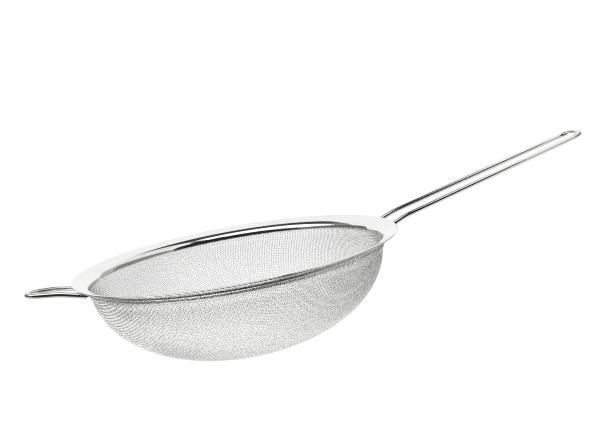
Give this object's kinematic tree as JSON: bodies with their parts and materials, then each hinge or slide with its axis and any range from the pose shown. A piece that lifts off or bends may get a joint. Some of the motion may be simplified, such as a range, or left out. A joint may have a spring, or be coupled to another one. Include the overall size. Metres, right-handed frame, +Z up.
{
  "type": "wire mesh strainer",
  "caption": "Long-handled kitchen strainer: a round woven-wire bowl under a dished polished rim, with a bent-wire handle and a short wire rest on the opposite side for setting it on a pan.",
  "frame": {"origin": "lowest point of the bowl, on its axis", "axes": "+Z up along the bowl's axis, +X from the bowl's axis towards the handle"},
  "size_m": [0.4263, 0.23, 0.1054],
  "materials": {
    "polished_sheet": "polished stainless steel sheet",
    "polished_wire": "polished stainless steel wire",
    "woven_wire": "drawn stainless steel wire, as woven",
    "weld_metal": "dull weld metal"
  },
  "bodies": {
    "root": {"rim_ring": "polished_sheet", "mesh_bowl": "woven_wire", "clamp_hoop": "polished_sheet", "handle_wire": "polished_wire", "rest_wire": "polished_wire", "handle_weld_left": "weld_metal", "handle_weld_right": "weld_metal", "rest_weld_left": "weld_metal", "rest_weld_right": "weld_metal"}
  },
  "joints": []
}
